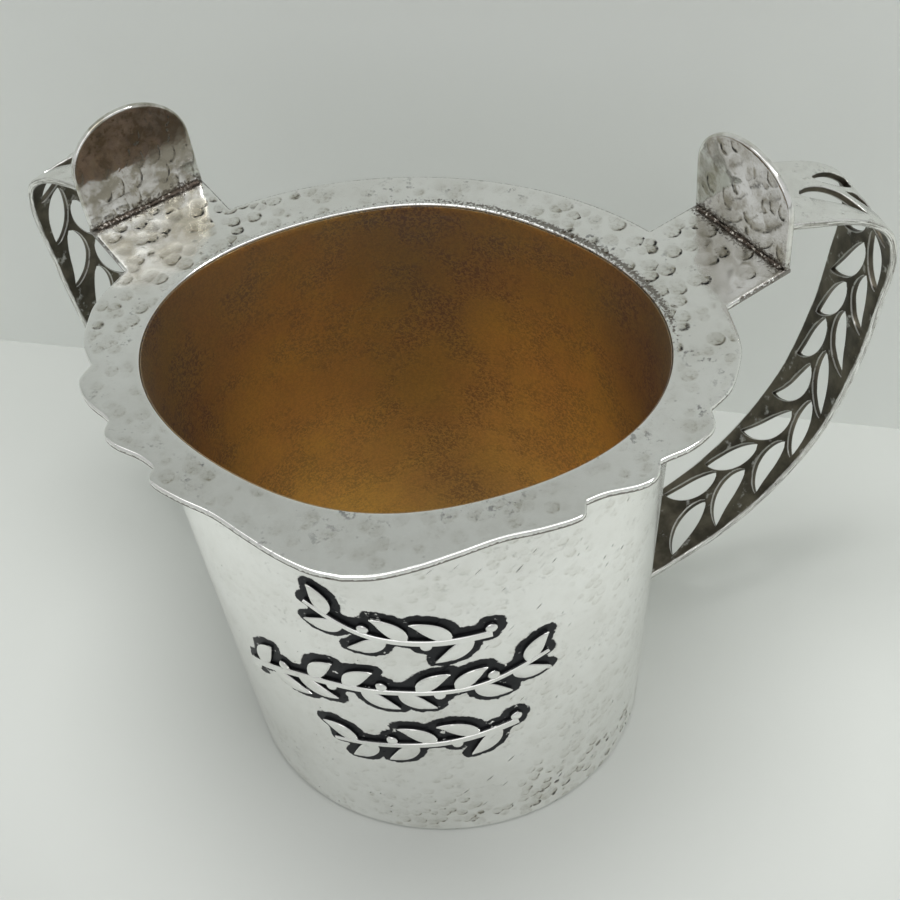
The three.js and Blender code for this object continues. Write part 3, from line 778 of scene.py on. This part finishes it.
# Openings: a row of leaf-shaped cutters along one side of the stem, flared at both faces of the
# band so that the edges that they leave are rounded.
row_of_leaves, entry = new_tree(
    "leaf_openings",
    {
        "Side": 1.0, "First": 0.018, "Last": 0.1, "Pitch": 0.013, "Swing": 0.0024, "Stem": 0.0022,
        "Edge": 0.0085, "Width": 0.0054, "Thickness": strap_thickness, "Rounding": 0.0004,
    },
)
tree = row_of_leaves
count = ((entry["Last"] - entry["First"]) / entry["Pitch"]).reckon("FLOOR") + 1.0
line = put(tree, "MeshLine", count, place_at(entry["First"], 0.0), place_at(entry["Pitch"], 0.0))
line = remember(line, "leaf_start", split(put(tree, "InputPosition"))[0])
leaves = leaf_blanks(tree, line, 22, 3, 6)
first = carried_by(tree, "leaf_start")
along, aside, depth = split(carried_by(tree, "leaf_spot", "FLOAT_VECTOR"))
# A cutter has three levels above and below the band's middle: under its skin, in it and above it.
level = (depth.reckon("ABSOLUTE") * 2.5 - 0.5).reckon("ROUND")
under, skin, above = (level.reckon("COMPARE", step, 0.1) for step in (0.0, 1.0, 2.0))
flare = skin * 0.3 + above * 1.7
out = under * -1.0 + skin * -0.3 + above * 0.4
out = (entry["Thickness"] / 2.0 + out * entry["Rounding"]) * depth.reckon("SIGN")


def winding(along):
    return ((along - 0.014) / entry["Pitch"] * (math.pi / 2)).reckon("SINE") * entry["Swing"]


off = entry["Side"] * entry["Stem"]
root = place_at(first, winding(first) + off)
bow_at = first + entry["Pitch"] * 0.72
bow = place_at(bow_at, winding(bow_at) + off)
tip = place_at(first + entry["Pitch"] * 1.12, entry["Side"] * entry["Edge"])
place = leaf_place(
    tree,
    along=along + 0.5,
    aside=aside,
    root=root,
    bow=bow,
    tip=tip,
    width=entry["Width"],
    inset=flare * entry["Rounding"] * -1.0 * (1.0 - (along.reckon("ABSOLUTE") * 2.0).reckon("POWER", 6.0)),
)
x, y, _ = split(place)
finish_tree(tree, Geometry=merged(moved(leaves, place_at(x, y, out))))

# The strap itself: the band is made flat, pierced, bent along its path in an upright plane and cut
# to the plate and the wall that it is soldered to.
strap_tree, entry = new_tree(
    "pierced_strap",
    {
        "Path": "Geometry", "Width at top": 0.0224, "Width at foot": 0.0206,
        "Thickness": strap_thickness, "Rounding": 0.0004, "First": 0.018, "Pitch": 0.013,
        "Plain foot": 0.014, "Angle": strap_angle, "Wall": "Object", "Plate": "Object",
        "Material": "Material",
    },
)
tree = strap_tree
path = put(tree, "MeshToCurve", entry["Path"])
length = put(tree, "CurveLength", path)
section = put(tree, "CurvePrimitiveQuadrilateral", entry["Width at top"], entry["Thickness"])
section = put(tree, "FilletCurve", section, mode="POLY", named={"Radius": entry["Rounding"], "Count": 3})
run = put(tree, "CurvePrimitiveLine", (0.0, 0.0, 0.0), place_at(length, 0.0))
run = put(tree, "ResampleCurve", run, named={"Count": 200})
band = put(tree, "CurveToMesh", run, section, named={"Fill Caps": True})
along, aside, depth = split(put(tree, "InputPosition"))
narrowing = 1.0 - (1.0 - entry["Width at foot"] / entry["Width at top"]) * (along / length)
band = moved(band, place_at(along, aside * narrowing, depth))


def cut_with(shape, cutters):
    cut = put(shape.tree, "MeshBoolean", shape, operation="DIFFERENCE", solver="MANIFOLD")
    knife = [s for s in cut.socket.node.inputs if s.name == "Mesh 2"][0]
    for cutter in cutters:
        feed(knife, cutter)
    return cut


cutters = []
for side in (-1.0, 1.0):
    named = {label: entry[label] for label in ("Pitch", "Thickness", "Rounding")}
    named["Side"] = side
    named["First"] = entry["First"] + entry["Pitch"] * (0.5 if side > 0 else 0.0)
    named["Last"] = length - entry["Plain foot"] - entry["Pitch"] * 1.12
    cutters.append(put(tree, "Group", node_tree=row_of_leaves, named=named))
pierced = cut_with(band, cutters)
pierced = remember(pierced, "flat_spot", put(tree, "InputPosition"), "FLOAT_VECTOR")
pierced = remember(pierced, "half_width", narrowing * entry["Width at top"] / 2.0)
middle = put(tree, "SampleCurve", path, mode="LENGTH", named={"Length": along})
at, _, height = split(middle.part("Position"))
ahead, _, climb = split(middle.part("Tangent"))
reach = at - climb * depth
height = height + ahead * depth
cosine, sine = entry["Angle"].reckon("COSINE"), entry["Angle"].reckon("SINE")
bent = moved(pierced, place_at(reach * cosine - aside * sine, reach * sine + aside * cosine, height))
blocks = [put(tree, "ObjectInfo", entry[label]).part("Geometry") for label in ("Wall", "Plate")]
finish_shape(cut_with(bent, blocks), entry["Material"])

path_gap = 0.0008
strap_line = [(p.x, 0.0, p.y) for p in smooth_line(strap_stops, path_gap)]
# Its look: polished where the hand rubs it, on the outer face, the long edges and the rounded edges
# of the openings, and dark brown-grey in the openings and on the inner face.
strap_look, entry = new_tree(
    "rubbed_and_dark_silver",
    {"Flat spot": "Vector", "Half width": 0.0112, "Thickness": strap_thickness},
    surface,
)
tree = strap_look
spot = put(tree, "TexCoord").part("Object")
_, aside, depth = split(entry["Flat spot"])
silver = {"Flecks": 0.5, "Nicks": 0.4, "Tarnish": 0.4, "Polish": 0.14}
silver = put(tree, "Group", node_tree=silver_look, named=silver)
wander = (noise(spot, 300.0) - 0.5) * 0.0005
skin_depth = entry["Thickness"] / 2.0
top = (depth + wander).ramp(skin_depth - 0.00045, skin_depth - 0.00015)
edge = (aside.reckon("ABSOLUTE") + wander).ramp(entry["Half width"] - 0.0006, entry["Half width"] - 0.0002)
low_edge = (depth + wander * 0.5).reckon("ABSOLUTE")
in_skin = low_edge.ramp(skin_depth - 0.00006, skin_depth - 0.00002, 1.0, 0.0)
low_edge = low_edge.ramp(skin_depth - 0.0004, skin_depth - 0.00025) * in_skin
# The file has left fine lines along the edges, which hold oxide.
filed = joined(entry["Flat spot"], (0.035, 0.2, 1.0), "MULTIPLY")
filed = noise(filed, 5200.0).ramp(0.42, 0.56)
edge = edge * (1.0 - filed * 0.7)
rubbed = top.reckon("MAXIMUM", edge).reckon("MAXIMUM", low_edge * 0.5)
rubbed = (rubbed - noise(spot, 500.0, 4.0, 0.65).ramp(0.56, 0.72) * 0.35).clamped()
grain = noise(spot, 1500.0)
stain = noise(spot, 120.0, 4.0)
shade = mixed(stain.ramp(0.35, 0.7), (0.07, 0.063, 0.05), (0.17, 0.152, 0.116))
colour = mixed(rubbed, shade, silver.part("Colour"))
rough = 0.42 - rubbed * 0.24 + grain * 0.1
relief = silver.part("Height") * rubbed + grain * (1.0 - rubbed) * 2.5e-5
finish_tree(tree, Colour=colour, Roughness=rough, Height=relief)
bent_by = {"Flat spot": ("flat_spot", "Vector"), "Half width": ("half_width", "Fac")}
strap_silver = metal("strap_silver", strap_look, **bent_by)
# What the straps are cut to: the body of the wall, and a block behind each thumb plate.
skin = -0.00005
block_profile = [(skin, 1, -0.01), (skin, 0, -0.01), (skin, 0, wall_height), (skin, 1, wall_height)]
wall_block = new_piece("wall_block", block_profile)
mark_points(wall_block, "hammered", [0.0] * 4)
settle(wall_block, vessel, {**wall_sizes, "Around": 240, "Material": strap_silver})
point_outwards(wall_block)
for side, flip in (("right", 1), ("left", -1)):
    near = thumb_thickness - 0.0001
    corners = [(x, y, z) for x in (-0.04, 0.04) for y in (-0.002, 0.078) for z in (-0.078, near)]
    faces = [(0, 1, 3, 2), (4, 6, 7, 5), (0, 4, 5, 1), (2, 3, 7, 6), (0, 2, 6, 4), (1, 5, 7, 3)]
    plate_block = new_piece("plate_block", corners, faces)
    plate_block.data.transform(upright @ Matrix.Rotation(thumb_lean[side], 4, "X"))
    point_outwards(plate_block)
    strap = new_piece(f"handle_strap_{side}_band", strap_line, chained=True)
    settle(strap, strap_tree, {"Wall": wall_block, "Plate": plate_block, "Material": strap_silver})
    bpy.data.objects.remove(plate_block)
    strap.data.transform(Matrix.Scale(flip, 4, (1, 0, 0)))
    point_outwards(strap)
    fit_to_frame(strap, "oxidised_silver", f"handle_strap_{side}")
bpy.data.objects.remove(wall_block)

# Sprays: leaves, berries and twigs sawn from flat sheet, soldered on the front of the wall, with
# crisp bright tops.
spray_sunk = 0.0002
leaf_drop = 0.0002
leaf_swell = 0.00012
spray_tree, entry = new_tree(
    "leaf_spray",
    {
        "Twig": "Geometry", "Pairs": 6, "Leaf length": 0.0115, "Leaf width": 0.0044,
        "Leaf angle": math.radians(38), "Bow angle": math.radians(58), "Twig width": 0.0021,
        "Berry radius": 0.0015, "Face": 0.001, "Bevel": 0.00018, "Bend radius": foot_half[0],
        "Foot half sizes": foot_half, "Mouth half sizes": outer_mouth, "Height": wall_height,
        "Material": "Material",
    },
)
tree = spray_tree
twig = put(tree, "MeshToCurve", entry["Twig"])
pairs = entry["Pairs"] * 1.0


def beside_twig(share, aside, ahead=0.0):
    """Place beside the twig at a share of its length, and ahead of it."""
    on = put(tree, "SampleCurve", twig, mode="FACTOR", named={"Factor": share})
    run = on.part("Tangent")
    across = joined((0.0, 0.0, 1.0), run, "CROSS_PRODUCT")
    off = joined(scaled(run, ahead), scaled(across, aside))
    return joined(on.part("Position"), off)


def cut_levels(depth, top):
    """For a piece cut from sheet, made from a block of three levels: its height from its back, a
    little way into the wall, over its shoulder to its top, how far its bevel goes in, and its top."""
    level = (depth + 1.0).reckon("ROUND")
    bevel = entry["Bevel"] * (level - 1.0).reckon("MAXIMUM", 0.0)
    rise = -spray_sunk + (top + spray_sunk - entry["Bevel"]) * level.reckon("MINIMUM", 1.0) + bevel
    return rise, bevel, level.reckon("COMPARE", 2.0, 0.1)


# Twig: a strip that tapers to its tip.
strip = put(tree, "MeshCube", (1.0, 2.0, 2.0), 70, 3, 3)
along, aside, depth = split(put(tree, "InputPosition"))
along = along + 0.5
rise, bevel, _ = cut_levels(depth, entry["Face"])
half_width = entry["Twig width"] / 2.0 * (1.0 - 0.45 * along) - bevel
x, y, _ = split(beside_twig(along, half_width * aside))
strip = moved(strip, place_at(x, y, rise))

# Leaves: two to a pair, one on each side of the twig, and smaller towards its tip.
number = put(tree, "InputIndex") * 1.0
pair = (number / 2.0).reckon("FLOOR")
second = number.reckon("MODULO", 2.0)
facing = 1.0 - 2.0 * (pair + second).reckon("MODULO", 2.0)
seeds = put(tree, "MeshLine", pairs * 2.0)
seeds = remember(seeds, "leaf_share", (pair + 0.3 + second * 0.32) / pairs)
seeds = remember(seeds, "leaf_side", facing)
leaves = leaf_blanks(tree, seeds, 20, 5, 3)
share, side = carried_by(tree, "leaf_share"), carried_by(tree, "leaf_side")
size = entry["Leaf length"] * (1.0 - 0.2 * share)


def leaf_end(turn, reach):
    return beside_twig(share, side * reach * turn.reckon("SINE"), reach * turn.reckon("COSINE"))


along, aside, depth = split(carried_by(tree, "leaf_spot", "FLOAT_VECTOR"))
rise, bevel, on_top = cut_levels(depth, entry["Face"] - leaf_drop)
place = leaf_place(
    tree,
    along=along + 0.5,
    aside=aside,
    root=beside_twig(share, 0.0),
    bow=leaf_end(entry["Bow angle"], size / 2.0),
    tip=leaf_end(entry["Leaf angle"], size),
    width=entry["Leaf width"],
    inset=bevel,
)
x, y, _ = split(place)
swell = (1.0 - aside * aside) * (1.0 - (along.reckon("ABSOLUTE") * 2.0).reckon("POWER", 8.0)).clamped()
leaves = moved(leaves, place_at(x, y, rise + swell * on_top * leaf_swell))

# Berries: low domes between the leaves.
number = put(tree, "InputIndex") * 1.0
seeds = put(tree, "MeshLine", pairs)
facing = 2.0 * number.reckon("MODULO", 2.0) - 1.0
seeds = moved(seeds, beside_twig(number / pairs, facing * entry["Berry radius"]))
ball = put(tree, "MeshIcoSphere", entry["Berry radius"], 3)
ball = put(tree, "Transform", ball, named={"Translation": (0.0, 0.0, 0.0002), "Scale": (1.0, 1.0, 0.62)})
berries = whole(put(tree, "InstanceOnPoints", seeds, None, ball))

# All of it is bent round the front of the wall.
spray = put(tree, "JoinGeometry", strip)
for more in (leaves, berries):
    feed(spray.socket.node.inputs[0], more)
along, up, out = split(put(tree, "InputPosition"))
turn = along / entry["Bend radius"] - math.pi / 2
low = oval_at(turn, entry["Foot half sizes"])
high = oval_at(turn, entry["Mouth half sizes"])
radius = low + (high - low) * (up / entry["Height"]) + out
# What stands less than half up from the wall is left black, like the ground.
spray = remember(spray, "from_ornament", out * 4.0)
spray = moved(spray, place_at(radius * turn.reckon("COSINE"), radius * turn.reckon("SINE"), up))
finish_shape(merged(spray), entry["Material"])

spray_silver = metal("spray_silver", silver_look, Flecks=0.3, Nicks=0.2, Tarnish=0.3, **by_ornament)
spray_half = Vector((0.041, 0.032))
sprays = (
    ("main", 6, ((-0.95, -0.42), (-0.5, -0.16), (0, -0.08), (0.5, -0.06), (0.9, 0.1))),
    ("upper", 3, ((0.6, 0.5), (0.25, 0.5), (-0.1, 0.58), (-0.4, 0.8))),
    ("lower", 3, ((0.7, -0.6), (0.32, -0.7), (-0.06, -0.76), (-0.4, -0.84))),
)
spray_middle = Vector((0, 0.063))
spray_pieces = {}
for name, leaf_pairs, shares in sprays:
    stops = [Vector(share) * spray_half + spray_middle for share in shares]
    twig_line = [(p.x, p.y, 0.0) for p in smooth_line(stops, path_gap)]
    spray = new_piece(f"leaf_spray_{name}", twig_line, chained=True)
    settle(spray, spray_tree, {"Pairs": leaf_pairs, "Material": spray_silver})
    point_outwards(spray)
    fit_to_frame(spray, "applied_silver", f"ornament_{name}_spray")
    spray_pieces[name.capitalize()] = spray

# The wall close to the ornament is left black and a little sunk: the wall learns how far each of
# its points is from the sprays. It is most worn and nicked at the foot and on its right side.
around_ornament, entry = new_tree(
    "around_ornament",
    {"Geometry": "Geometry", **dict.fromkeys(spray_pieces, "Object"), "Material": "Material"},
)
tree = around_ornament
sprays_here = put(tree, "JoinGeometry")
for label in spray_pieces:
    feed(sprays_here.socket.node.inputs[0], put(tree, "ObjectInfo", entry[label]).part("Geometry"))
gap = put(tree, "Proximity", sprays_here).part("Distance")
shell = remember(entry["Geometry"], "from_ornament", gap)
sideways, _, high = split(put(tree, "InputPosition"))
low, right = high.ramp(0.0, 0.03, 1.0, 0.0), sideways.ramp(-0.01, 0.03)
shell = remember(shell, "wear", 0.35 + low * 0.5 + right * 0.4)
shell = remember(shell, "pocked", 0.14 + low * (0.3 + right * 0.5) + right * 0.16)
finish_shape(shell, entry["Material"])
settle(wall, around_ornament, {**spray_pieces, "Material": wall_silver})

# Solder: a bead of silver solder run along the fold between each ear and its thumb plate. It has
# flowed unevenly and is left rough, burnt brown with bright grains.
bead_sizes = {"Step": 0.00022, "Radius": 0.0005, "Unevenness": 0.00045}
bead_tree, entry = new_tree("solder_bead", {"Line": "Geometry", **bead_sizes, "Material": "Material"})
tree = bead_tree
line = put(tree, "MeshToCurve", entry["Line"])
line = put(tree, "ResampleCurve", line, mode="LENGTH", named={"Length": entry["Step"]})
ring = put(tree, "CurvePrimitiveCircle", 16, entry["Radius"])
bead = put(tree, "CurveToMesh", line, ring, named={"Fill Caps": True})
spot = put(tree, "InputPosition")
swell = (noise(spot, 900.0) + noise(spot, 220.0, 2.0, 0.5) - 1.05) * entry["Unevenness"] * 2.0
finish_shape(moved(bead, push=scaled(put(tree, "InputNormal"), swell)), entry["Material"])
solder_look, entry = new_tree("burnt_solder", {"Grains": 0.5, "Polish": 0.25}, surface)
spot = put(solder_look, "TexCoord").part("Object")
grain = noise(spot, 1500.0, 3.0, 0.65)
bright = grain.ramp(0.68 - entry["Grains"] * 0.3, 0.78 - entry["Grains"] * 0.3)
colour = mixed(bright, (0.1, 0.08, 0.065), (0.78, 0.74, 0.68))
finish_tree(solder_look, Colour=colour, Roughness=entry["Polish"] + grain * 0.2, Height=grain * 1.2e-4)
solder_silver = metal("solder_silver", solder_look, Grains=0.5, Polish=0.4)
lift = 0.0003
for side, flip in (("right", 1), ("left", -1)):
    ends = [ear_seat + ear_across * across - ear_out * lift for across in (-half + 0.0012, half - 0.0012)]
    line = [(p.x * flip, p.y, cup_height + lift) for p in (ends[0].lerp(ends[1], i / 20) for i in range(21))]
    bead = new_piece(f"fold_solder_{side}", line, chained=True)
    settle(bead, bead_tree, {"Material": solder_silver})
    point_outwards(bead)
    fit_to_frame(bead, "hammered_silver")

# The table: a plain pale floor with a plain backdrop close behind the cup, lit softly from above. Painted
# shade makes the floor darker towards the front and the backdrop darker towards its top.
floor_tone = (0.66, 0.68, 0.65)
backdrop_tone = (0.86, 0.885, 0.855)


def paint_with_painted_shade(name, tone, axis, start, end, dimmed, one_sided=False):
    """Matt paint with painted shade: a little darker further along one axis."""
    material = bpy.data.materials.new(name)
    material.use_nodes = True
    tree = material.node_tree
    shader = tree.nodes["Principled BSDF"]
    shader.inputs["Roughness"].default_value = 0.9
    shader.inputs["Specular IOR Level"].default_value = 0.1
    along = split(put(tree, "TexCoord").part("Object"))["XYZ".index(axis)]
    dim = [share * dimmed for share in tone]
    feed(shader.inputs["Base Color"], mixed(along.ramp(start, end), tone, dim))
    if one_sided:
        # The cup's back can be seen through the backdrop.
        behind = put(tree, "NewGeometry").part("Backfacing")
        clear = put(tree, "BsdfTransparent")
        cover = put(tree, "MixShader", behind, Wire(shader.outputs[0]), clear)
        feed(tree.nodes["Material Output"].inputs["Surface"], cover)
    return material


below = -0.00005
ground = new_piece("floor", [(-3, -3, below), (3, -3, below), (3, 3, below), (-3, 3, below)], [(0, 1, 2, 3)])
ground.data.materials.append(paint_with_painted_shade("floor_paint", floor_tone, "Y", 0.02, -0.13, 0.8))
backdrop = new_piece(
    "backdrop", [(-1.2, 0.150, 0), (1.2, 0.055, 0), (1.2, 0.055, 0.5), (-1.2, 0.150, 0.5)], [(0, 1, 2, 3)]
)
backdrop.data.materials.append(paint_with_painted_shade("backdrop_paint", backdrop_tone, "Z", 0.13, 0.36, 0.7, True))


def soft_lamp(name, place, size, power, on_table=True, in_metal=True):
    lamp = bpy.data.lights.new(name, "AREA")
    lamp.shape = "DISK"
    lamp.size = size
    lamp.energy = power
    shade = bpy.data.objects.new(name, lamp)
    shade.location = place
    shade.visible_diffuse = on_table
    shade.visible_glossy = in_metal
    shade.rotation_euler = (Vector((0, 0, 0.05)) - Vector(place)).to_track_quat("-Z", "Y").to_euler()
    bpy.context.scene.collection.objects.link(shade)


soft_lamp("ceiling_lamp", (-0.02, 0.1, 1.2), 0.6, 8.6, in_metal=False)
soft_lamp("room_lamp", (0.45, -0.45, 1.1), 1.0, 4.0, in_metal=False)
soft_lamp("front_lamp", (-0.1, -0.9, 0.9), 1.0, 1.4, on_table=False)
soft_lamp("side_lamp", (0.61, 0.015, 0.965), 0.14, 2.2, on_table=False)

# The room is pale where it is seen or mirrored, brightest in a ring high overhead, and gives a
# part of the light.
world = bpy.data.worlds.new("room")
bpy.context.scene.world = world
world.use_nodes = True
tree = world.node_tree
room = tree.nodes["Background"]
room.inputs["Color"].default_value = (0.60, 0.605, 0.60, 1.0)
ray = put(tree, "LightPath")
seen = ray.reckon("MAXIMUM", ray.part("Is Glossy Ray")).reckon("MAXIMUM", ray.part("Is Transmission Ray"))
above = split(put(tree, "TexCoord").part("Generated"))[2]
ring = above.ramp(0.78, 0.92, 0.0, 2.8) * above.ramp(0.955, 0.985, 1.0, 0.0)
feed(room.inputs["Strength"], seen * (0.2 + ring) + 0.7)

# The camera stands where the photograph was taken from, a little to the right and well above.
camera = bpy.data.objects.new("camera", bpy.data.cameras.new("camera"))
camera.data.lens = 72.0
camera.data.sensor_width = 36.0
camera.data.clip_start = 0.01
right, up = Vector((0.98237, 0.1695, -0.07885)), Vector((-0.07436, 0.74128, 0.66706))
back, place = Vector((0.17152, -0.64944, 0.74082)), Vector((0.0760, -0.25868, 0.38334))
camera.matrix_world = Matrix([*zip(right, up, back, place), (0, 0, 0, 1)])
bpy.context.scene.collection.objects.link(camera)
bpy.context.scene.camera = camera
bpy.context.scene.view_settings.view_transform = "Standard"
